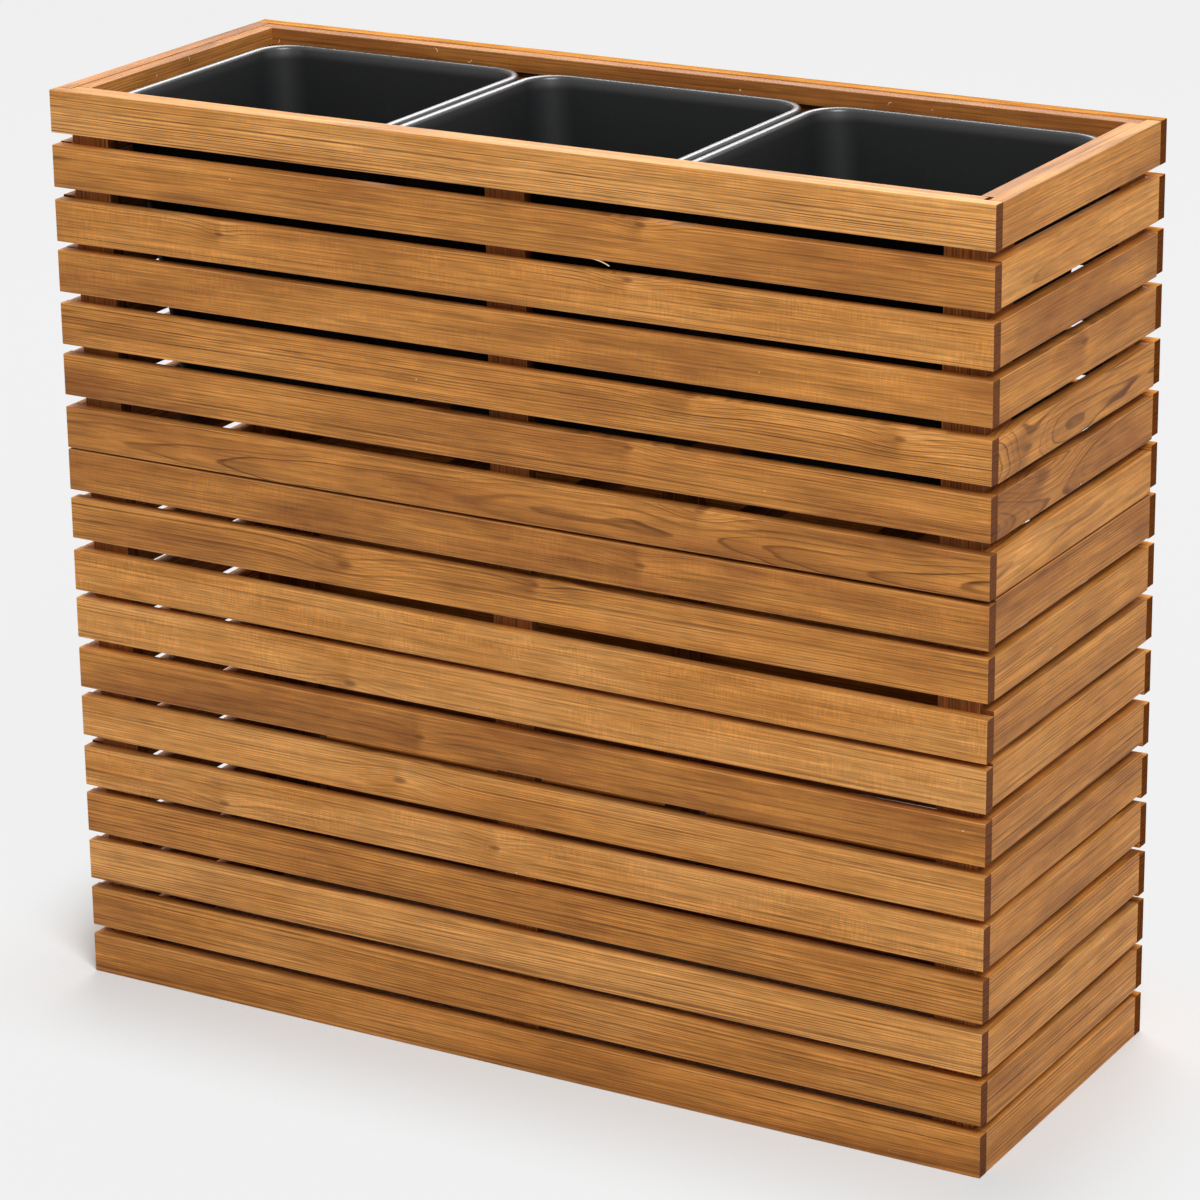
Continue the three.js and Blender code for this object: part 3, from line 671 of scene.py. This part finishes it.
# End slats
# The same boards cut short to fit between the front and back slats, flush with their ends, and stapled to
# two uprights. The heights come from the end panels' outer faces.
END_TONES_RIGHT = (-0.1, 0.2, -0.6, -0.6, -0.2, -0.7, -0.1, -0.7, 0.0, -0.3, 0.1, -0.3, -0.4, -0.2, -0.2, 0.3,
                   0.0, 0.0)
END_FLAT_SAWN_RIGHT = (2, 5, 6, 7)
END_KNOTS_RIGHT = {4: ((10, 10, 12),), 5: ((-110, -4, 14),), 6: ((-75, 12, 22),)}
END_RINGS_RIGHT = {
    1: (3.0, 0.25, 0.55),
    2: (4.2, 0.1, 0.6),
    3: (2.4, 0.36, 0.6),
    4: (2.8, 0.3, 0.55),
    5: (3.2, 0.2, 0.95),
    6: (2.6, 0.25, 0.85),
    7: (4.6, 0.2, 0.95),
    8: (3.0, 0.36, 0.7),
}
END_STEPS = 11


def end_row(side, tones, flat_sawn, knots, rings, seed):
    """The slats of one end."""
    rng = random.Random(seed)
    word = "left" if side < 0 else "right"
    node = word + "_end_panel"
    low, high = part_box(node)
    face = high.x if side > 0 else low.x
    corners = [v.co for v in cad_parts[node].data.vertices]
    levels = sorted({round(c.z, 5) for c in corners if abs(c.x - face) < 0.1 * MM})
    centres = [(levels[2 * i] + levels[2 * i + 1]) / 2 for i in range(len(levels) // 2)]
    boards = []
    for i, z in enumerate(reversed(centres), 1):
        cut = "flat" if i in flat_sawn else "rift"
        centre = Vector((face - side * SLAT_THICKNESS / 2, 0, z))
        turn = (0, 0, side * math.pi / 2)
        boards.append(sawn_board(rng, cut, tones[i - 1], centre, turn, knots.get(i, ()), rings.get(i)))
    piece = lay_boards(word + "_end_slats", boards, high.y - low.y, SLAT_WIDTH, SLAT_THICKNESS, END_STEPS)
    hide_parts(node)
    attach(piece, "carcass")


end_row(1, END_TONES_RIGHT, END_FLAT_SAWN_RIGHT, END_KNOTS_RIGHT, END_RINGS_RIGHT, seed=31)
left_rng = random.Random(8)
END_TONES_LEFT = [left_rng.uniform(-0.5, 0.5) for _ in range(SLAT_COUNT)]
END_FLAT_SAWN_LEFT = (3, 9, 12)
END_KNOTS_LEFT = {6: ((60, -8, 10),), 14: ((-80, 4, 8),)}
end_row(-1, END_TONES_LEFT, END_FLAT_SAWN_LEFT, END_KNOTS_LEFT, {}, seed=37)


# Uprights
# Boards of the same section, stood on the floor: one behind each end and the middle of the long rows, and
# two behind each end row. Every slat is stapled to them, and the rails lie on their tops.
UPRIGHT_STEPS = 21
# The inner boards get a darker tone and darker, wider late wood: painted shade for the inside of the planter.
INNER_SHADE_TONE = -1.1
INNER_SHADE_TONE_SPREAD = 0.2
INNER_SHADE_RINGS = (3.0, 0.6, 1.0)
upright_rng = random.Random(41)
long_uprights = [f"{row}_{where}_upright"
                 for row in ("front", "back") for where in ("left", "middle", "right")]
boards = []
for node in long_uprights:
    tone = INNER_SHADE_TONE + upright_rng.uniform(-INNER_SHADE_TONE_SPREAD, INNER_SHADE_TONE_SPREAD)
    turn = (0, -math.pi / 2, 0 if node.startswith("front") else math.pi)
    boards.append(sawn_board(upright_rng, "rift", tone, middle(node), turn, (), INNER_SHADE_RINGS))
UPRIGHT_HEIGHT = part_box(long_uprights[0])[1].z
rail_low, rail_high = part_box("right_rail")
for side in (-1, 1):
    for face in (-1, 1):
        tone = INNER_SHADE_TONE + upright_rng.uniform(-INNER_SHADE_TONE_SPREAD, INNER_SHADE_TONE_SPREAD)
        x = side * (rail_low.x + rail_high.x) / 2
        y = face * (rail_high.y - SLAT_WIDTH / 2)
        centre = Vector((x, y, UPRIGHT_HEIGHT / 2))
        turn = (math.pi / 2, -math.pi / 2, 0)
        boards.append(sawn_board(upright_rng, "rift", tone, centre, turn, (), INNER_SHADE_RINGS))
uprights = lay_boards("uprights", boards, UPRIGHT_HEIGHT, SLAT_WIDTH, SLAT_THICKNESS, UPRIGHT_STEPS)
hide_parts("left_end_panel", "right_end_panel", *long_uprights)
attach(uprights, "carcass")


# Top rails
# Narrow strips that lie on the uprights and line the opening. They are sawn from the same boards, and the
# front one was cut a little short, which leaves a small dark notch in the corner.
RAIL_TONES = {"front_rail": 0.2, "back_rail": -1.1, "left_rail": -0.6, "right_rail": -0.2}
RAIL_RINGS = (3.0, 0.3, 0.6)
rail_rng = random.Random(53)
for node, tone in RAIL_TONES.items():
    low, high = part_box(node)
    lengthwise = node in ("front_rail", "back_rail")
    turn = (0, 0, 0) if lengthwise else (0, 0, math.pi / 2)
    board = sawn_board(rail_rng, "rift", tone, middle(node), turn, (), RAIL_RINGS)
    length = high.x - low.x if lengthwise else high.y - low.y
    thickness = high.y - low.y if lengthwise else high.x - low.x
    rail = lay_boards(node + "_board", [board], length, high.z - low.z, thickness, END_STEPS)
    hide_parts(node)
    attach(rail, "carcass")


# Splinters
# Thin slivers that the saw and the plane left behind: pale curls that lie on the inner faces of the rails,
# and a straw that hangs from the lower edge of the second slat.
SPLINTER_PALE = "#F8E6C4"
SPLINTER_TAN = "#DDB27C"
STAIN_PITCH = 2.5 * MM
SPLINTER_ROUGHNESS = 0.6
SPLINTER_TIP = 0.25
# The sweep is in degrees, and the thickness is for a bend radius of one millimetre.
CURL_SWEEP = 110
CURL_THICKNESS = 0.16 * MM
STRAW_SWEEP = 26
STRAW_THICKNESS = 0.012 * MM
# The root's place in millimetres, the turn in degrees and the bend radius in millimetres.
CURLS = (
    ((-466.0, 156.8, 907.0), (90, 80, 0), 2.4),
    ((-276.7, 156.8, 914.5), (90, 20, 0), 2.6),
    ((-237.0, 156.8, 909.5), (90, 110, 0), 2.8),
    ((230.0, 156.8, 911.0), (90, -70, 0), 2.4),
    ((-471.8, 7.0, 916.0), (90, 30, 90), 2.2),
    ((-471.8, -48.0, 911.0), (90, 100, 90), 1.6),
)
STRAWS = (((95.0, -184.3, 774.0), (90, -90, 180), 52.0),)


def splinter_tree():
    """Lays a bent sliver, thick at its root, on every point, turned and sized as the point says."""
    tree, given = layout_tree("splinter", {
        "Spots": "Geometry", "Sweep": "Float", "Thickness": "Float", "Wood": "Material"})
    path = add(tree, "GeometryNodeCurveArc",
               {"Resolution": 12, "Radius": 1.0 * MM, "Sweep Angle": given["Sweep"]}, mode="RADIUS")
    along = add(tree, "GeometryNodeSplineParameter").outputs["Factor"]
    taper = add(tree, "ShaderNodeMapRange", {0: along, 1: 0.0, 2: 1.0, 3: 1.0, 4: SPLINTER_TIP})
    path = add(tree, "GeometryNodeSetCurveRadius", {"Curve": path, "Radius": taper})
    section = add(tree, "GeometryNodeCurvePrimitiveCircle", {"Resolution": 6, "Radius": given["Thickness"]})
    sliver = add(tree, "GeometryNodeCurveToMesh",
                 {"Curve": path, "Profile Curve": section, "Fill Caps": True})
    laid, turn = on_points(tree, given["Spots"], sliver, "reach")
    laid = add(tree, "GeometryNodeSetMaterial", {"Geometry": laid, "Material": given["Wood"]})
    add(tree, "NodeGroupOutput", {0: laid})
    return tree


def splinter_material():
    """Fresh pale wood, a little browner in places."""
    material, tree = new_material("fresh_splinter")
    place = add(tree, "ShaderNodeTexCoord").outputs["Object"]
    stain = add(tree, "ShaderNodeTexNoise", {"Vector": place, "Scale": 1 / STAIN_PITCH})
    colour = add(tree, "ShaderNodeMix", {0: stain, 6: hex_colour(SPLINTER_PALE), 7: hex_colour(SPLINTER_TAN)},
                 data_type="RGBA").outputs[2]
    skin = add(tree, "ShaderNodeBsdfPrincipled", {
        "Base Color": colour, "Roughness": SPLINTER_ROUGHNESS, "IOR": 1.5})
    add(tree, "ShaderNodeOutputMaterial", {"Surface": skin})
    return material


def lay_splinters(name, spots, sweep, thickness):
    """One mesh of slivers of a kind. Each is given by its place, its turn in degrees and its bend radius."""
    slivers = [{"centre": [part * MM for part in place], "turn": [math.radians(part) for part in turn],
                "reach": [reach] * 3} for place, turn, reach in spots]
    piece = laid_out(name, slivers, ("turn", "reach"), SPLINTER_TREE, {
        "Sweep": math.radians(sweep), "Thickness": thickness, "Wood": SPLINTER_WOOD})
    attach(piece, "carcass")


SPLINTER_TREE = splinter_tree()
SPLINTER_WOOD = splinter_material()
lay_splinters("curls", CURLS, CURL_SWEEP, CURL_THICKNESS)
lay_splinters("straw", STRAWS, STRAW_SWEEP, STRAW_THICKNESS)


# The shelf
# Two ledgers on edge are fixed to the uprights, front and back, and six narrow battens lie across them, two
# for each pot. They are rough boards of the same timber, painted dark as shade for the inside.
shelf_rng = random.Random(61)
boards = []
for node in ("front_ledger", "back_ledger"):
    boards.append(sawn_board(shelf_rng, "rift", INNER_SHADE_TONE, middle(node), (0, 0, 0), (), INNER_SHADE_RINGS))
low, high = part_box("front_ledger")
ledgers = lay_boards("shelf_ledgers", boards, high.x - low.x, high.z - low.z, high.y - low.y, SLAT_STEPS)
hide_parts("front_ledger", "back_ledger")
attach(ledgers, "carcass")
boards = []
batten_nodes = [f"shelf_batten_{i:02d}" for i in range(1, 7)]
for node in batten_nodes:
    turn = (math.pi / 2, 0, math.pi / 2)
    boards.append(sawn_board(shelf_rng, "rift", INNER_SHADE_TONE, middle(node), turn, (), INNER_SHADE_RINGS))
low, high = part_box(batten_nodes[0])
battens = lay_boards("shelf_battens", boards, high.y - low.y, high.x - low.x, high.z - low.z, END_STEPS)
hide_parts(*batten_nodes)
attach(battens, "carcass")


# The pots
# Square nursery pots, injection moulded in black polypropylene: tapered, with a turned-down lip, a small
# step for stacking and low arches between the feet. They stand loose on the shelf and lift straight out.
POT_LOW, POT_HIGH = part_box("pot_02")
POT_RIM = POT_HIGH.x - POT_LOW.x
POT_HEIGHT = POT_HIGH.z - POT_LOW.z
POT_BASE = 216 * MM
POT_WALL = 2.4 * MM
RIM_CORNER = 43 * MM
BASE_CORNER = 27 * MM
NECK_CORNER = 36 * MM
LIP_OVERHANG = 7 * MM
LIP_DEPTH = 15 * MM
LEDGE_DROP = 90 * MM
LEDGE_STEP = 2.5 * MM
POT_FLOOR_RISE = 9 * MM
ARCH_WIDTH = 100 * MM
ARCH_HEIGHT = 7 * MM
DRAIN_RADIUS = 5 * MM
DRAIN_CIRCLE = 70 * MM
DRAIN_COUNT = 8
CORNER_STEPS = 14
# The small roundings: of the edges, the ledge, the lip and its lower hem, and the floor inside.
EDGE_ROUND = 0.4 * MM
LEDGE_ROUND = 1 * MM
LIP_SHOULDER = 4.2 * MM
LIP_TURN_DEGREES = 172
LIP_STEPS = 6
LIP_ROUND = 1.5 * MM
HEM_INSIDE = 0.5 * MM
HEM_OUTSIDE = 0.8 * MM
FLOOR_ROUND = 4 * MM
FLOOR_ROUND_MIDDLE = 1.2 * MM
ARCH_STEPS = 12
DRAIN_SIDES = 20
CUTTER_SPARE = 5 * MM


def square_ring(mesh, half, radius, z):
    """The points round a square with round corners, anticlockwise from above."""
    ring = []
    for corner in range(4):
        turn = corner * math.pi / 2
        across = 1 if corner in (0, 3) else -1
        deep = 1 if corner < 2 else -1
        for step in range(CORNER_STEPS + 1):
            angle = turn + step / CORNER_STEPS * math.pi / 2
            x = across * (half - radius) + radius * math.cos(angle)
            y = deep * (half - radius) + radius * math.sin(angle)
            ring.append(mesh.verts.new((x, y, z)))
    return ring


def pot_profile():
    """Half widths, corner radii and heights from under the floor, up the outside and down the inside."""
    neck = POT_RIM / 2 - LIP_OVERHANG - LEDGE_STEP
    ledge = POT_HEIGHT - LEDGE_DROP
    step = ledge + LEDGE_STEP
    under_lip = POT_HEIGHT - POT_WALL
    hem = POT_HEIGHT - LIP_DEPTH
    inside = POT_FLOOR_RISE + POT_WALL

    def wall(z, out):
        """A ring of the tapered wall, let out by so much."""
        share = z / POT_HEIGHT
        half = POT_BASE / 2 + (neck - POT_BASE / 2) * share
        radius = BASE_CORNER + (NECK_CORNER - BASE_CORNER) * share
        return half + out, radius + out, z

    def lip(inset, z):
        """A ring of the upright lip, set in from the rim by so much."""
        return POT_RIM / 2 - inset, RIM_CORNER - inset, z

    def bend(middle_half, start, stop):
        """The rings of a shoulder of the lip, from one angle of its section to another."""
        for i in range(LIP_STEPS + 1):
            angle = math.radians(start + (stop - start) * i / LIP_STEPS)
            half = middle_half + LIP_SHOULDER * math.cos(angle)
            z = POT_HEIGHT - LIP_SHOULDER + LIP_SHOULDER * math.sin(angle)
            yield half, RIM_CORNER - (POT_RIM / 2 - half), z

    inner_lip = neck + LEDGE_STEP - POT_WALL
    yield wall(POT_FLOOR_RISE, -POT_WALL)
    yield wall(EDGE_ROUND, -POT_WALL)
    yield wall(0, -POT_WALL + EDGE_ROUND)
    yield wall(0, -EDGE_ROUND)
    yield wall(EDGE_ROUND, 0)
    yield wall(ledge - LEDGE_ROUND, 0)
    yield wall(ledge, EDGE_ROUND)
    yield wall(step, LEDGE_STEP)
    yield wall(step + LEDGE_ROUND, LEDGE_STEP)
    yield wall(under_lip - 2 * MM, LEDGE_STEP)
    yield wall(under_lip, LEDGE_STEP + LEDGE_ROUND)
    yield lip(POT_WALL + LIP_ROUND, under_lip)
    yield lip(POT_WALL, under_lip - LIP_ROUND)
    yield lip(POT_WALL, hem + HEM_INSIDE)
    yield lip(POT_WALL / 2, hem)
    yield lip(0, hem + HEM_OUTSIDE)
    yield from bend(POT_RIM / 2 - LIP_SHOULDER, 0, 90)
    yield from bend(inner_lip + LIP_SHOULDER, 90, LIP_TURN_DEGREES)
    yield wall(step + LEDGE_ROUND, LEDGE_STEP - POT_WALL)
    yield wall(step, LEDGE_STEP - POT_WALL)
    yield wall(ledge, EDGE_ROUND - POT_WALL)
    yield wall(ledge - LEDGE_ROUND, -POT_WALL)
    yield wall(inside + FLOOR_ROUND, -POT_WALL)
    yield wall(inside + FLOOR_ROUND_MIDDLE, -POT_WALL - FLOOR_ROUND_MIDDLE)
    yield wall(inside, -POT_WALL - FLOOR_ROUND)


def cut_away(body, cutters):
    """Takes the cutters out of a body and deletes them."""
    for cutter in cutters:
        modifier = body.modifiers.new("cut", "BOOLEAN")
        modifier.operation = "DIFFERENCE"
        modifier.solver = "EXACT"
        modifier.object = cutter
    depsgraph = bpy.context.evaluated_depsgraph_get()
    mesh = bpy.data.meshes.new_from_object(body.evaluated_get(depsgraph), depsgraph=depsgraph)
    body.modifiers.clear()
    body.data = mesh
    for cutter in cutters:
        bpy.data.objects.remove(cutter)


def object_from(name, shape):
    """Turns a bmesh into an object in the scene."""
    mesh = bpy.data.meshes.new(name)
    bmesh.ops.recalc_face_normals(shape, faces=shape.faces)
    shape.to_mesh(mesh)
    shape.free()
    return new_object(name, mesh)


def pot_shell():
    """The pot as it leaves the mould, standing at the origin."""
    shape = bmesh.new()
    rings = [square_ring(shape, *point) for point in pot_profile()]
    count = len(rings[0])
    shape.faces.new(list(reversed(rings[0])))
    for low_ring, high_ring in zip(rings, rings[1:]):
        for i in range(count):
            j = (i + 1) % count
            shape.faces.new((low_ring[i], low_ring[j], high_ring[j], high_ring[i]))
    shape.faces.new(rings[-1])
    pot = object_from("pot_shell", shape)
    cutters = []
    for turn in (0, math.pi / 2):
        arch = bmesh.new()
        outline = [(ARCH_WIDTH / 2, -CUTTER_SPARE), (ARCH_WIDTH / 2, 0)]
        for step in range(1, ARCH_STEPS):
            angle = step / ARCH_STEPS * math.pi
            outline.append((ARCH_WIDTH / 2 * math.cos(angle), ARCH_HEIGHT * math.sin(angle)))
        outline += [(-ARCH_WIDTH / 2, 0), (-ARCH_WIDTH / 2, -CUTTER_SPARE)]
        face = arch.faces.new([arch.verts.new((x, -POT_RIM / 2, z)) for x, z in outline])
        far = bmesh.ops.extrude_face_region(arch, geom=[face])
        bmesh.ops.translate(arch, verts=[v for v in far["geom"] if isinstance(v, bmesh.types.BMVert)],
                            vec=(0, POT_RIM, 0))
        bmesh.ops.rotate(arch, verts=arch.verts, cent=(0, 0, 0), matrix=Matrix.Rotation(turn, 3, "Z"))
        cutters.append(object_from("arch_cutter", arch))
    drains = bmesh.new()
    spots = [(0, 0)]
    for i in range(DRAIN_COUNT):
        angle = (i + 0.5) / DRAIN_COUNT * 2 * math.pi
        spots.append((DRAIN_CIRCLE * math.cos(angle), DRAIN_CIRCLE * math.sin(angle)))
    for x, y in spots:
        where = Matrix.Translation((x, y, POT_FLOOR_RISE + POT_WALL / 2))
        bmesh.ops.create_cone(drains, cap_ends=True, segments=DRAIN_SIDES, radius1=DRAIN_RADIUS,
                              radius2=DRAIN_RADIUS, depth=3 * POT_WALL, matrix=where)
    cutters.append(object_from("drain_cutter", drains))
    cut_away(pot, cutters)
    return pot


# Injection-moulded black polypropylene: finely grained and dull down the walls, with slow flow marks and a
# little dust. The rolled lip comes from a polished part of the mould, so it has a glossy skin. The grain is
# drawn a few times coarser than it is, so that it shows.
PLASTIC_BLACK = "#1C1D1E"
PLASTIC_DUSTY = "#252627"
PLASTIC_GRAIN = 0.7 * MM
PIT_STRENGTH = 0.12
PIT_DEPTH = 0.1 * MM
FLOW_WAVES = (9, 9, 2.5)
SCUFFS_PER_METRE = 70.0
GLOSS_ABOVE = 4 * MM
GLOSS_END = 14 * MM
WALL_ROUGHNESS = 0.48
WALL_SHINE = 0.18
LIP_ROUGHNESS = 0.3
LIP_IOR = 1.6


def plastic_material():
    """The pots' plastic, with mould grain, flow marks and light scuffs."""
    material, tree = new_material("moulded_polypropylene")
    place = add(tree, "ShaderNodeTexCoord").outputs["Object"]
    pits = add(tree, "ShaderNodeTexNoise", {"Vector": place, "Scale": 1 / PLASTIC_GRAIN, "Detail": 2.0})
    flow = add(tree, "ShaderNodeMapping", {"Vector": place, "Scale": FLOW_WAVES})
    flow = add(tree, "ShaderNodeTexNoise", {"Vector": flow, "Scale": 1.0, "Detail": 4.0, "Roughness": 0.6})
    scuffs = add(tree, "ShaderNodeTexNoise", {"Vector": place, "Scale": SCUFFS_PER_METRE, "Detail": 6.0,
                                              "Roughness": 0.75})
    scuffs = add(tree, "ShaderNodeMapRange", {0: scuffs, 1: 0.55, 2: 0.75, 3: 0.0, 4: 0.5})
    dust = add(tree, "ShaderNodeMath", {0: flow, 1: 0.6, 2: scuffs}, operation="MULTIPLY_ADD")
    colour = add(tree, "ShaderNodeMix", {0: dust, 6: hex_colour(PLASTIC_BLACK), 7: hex_colour(PLASTIC_DUSTY)},
                 data_type="RGBA").outputs[2]
    height = add(tree, "ShaderNodeSeparateXYZ", {0: place}).outputs["Z"]
    gloss = add(tree, "ShaderNodeMapRange", {0: height, 1: POT_HIGH.z - GLOSS_ABOVE,
                                             2: POT_HIGH.z - GLOSS_END, 3: 1.0, 4: 0.0},
                interpolation_type="SMOOTHSTEP")
    rough = add(tree, "ShaderNodeMath", {0: flow, 1: 0.1, 2: WALL_ROUGHNESS}, operation="MULTIPLY_ADD")
    rough = add(tree, "ShaderNodeMath", {0: scuffs, 1: 0.1, 2: rough}, operation="MULTIPLY_ADD")
    bump = add(tree, "ShaderNodeBump", {"Height": pits, "Strength": PIT_STRENGTH, "Distance": PIT_DEPTH})
    skin = add(tree, "ShaderNodeBsdfPrincipled", {
        "Base Color": colour, "Roughness": rough, "Normal": bump, "IOR": 1.49,
        "Specular IOR Level": WALL_SHINE, "Coat Weight": gloss, "Coat Roughness": LIP_ROUGHNESS,
        "Coat IOR": LIP_IOR})
    add(tree, "ShaderNodeOutputMaterial", {"Surface": skin})
    return material


plastic = plastic_material()
shell = pot_shell()
POTS = {"pot_01": "left_pot", "pot_02": "middle_pot", "pot_03": "right_pot"}
for node, body in POTS.items():
    low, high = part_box(node)
    mesh = shell.data.copy()
    mesh.name = body
    mesh.transform(Matrix.Translation(((low.x + high.x) / 2, (low.y + high.y) / 2, low.z)))
    mesh.materials.clear()
    mesh.materials.append(plastic)
    mesh.shade_smooth()
    mesh.set_sharp_from_angle(angle=SHARP_ANGLE)
    pot = new_object(body, mesh)
    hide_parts(node)
    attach(pot, body)
bpy.data.objects.remove(shell)


# The picture's colours
bpy.context.scene.view_settings.view_transform = "Standard"
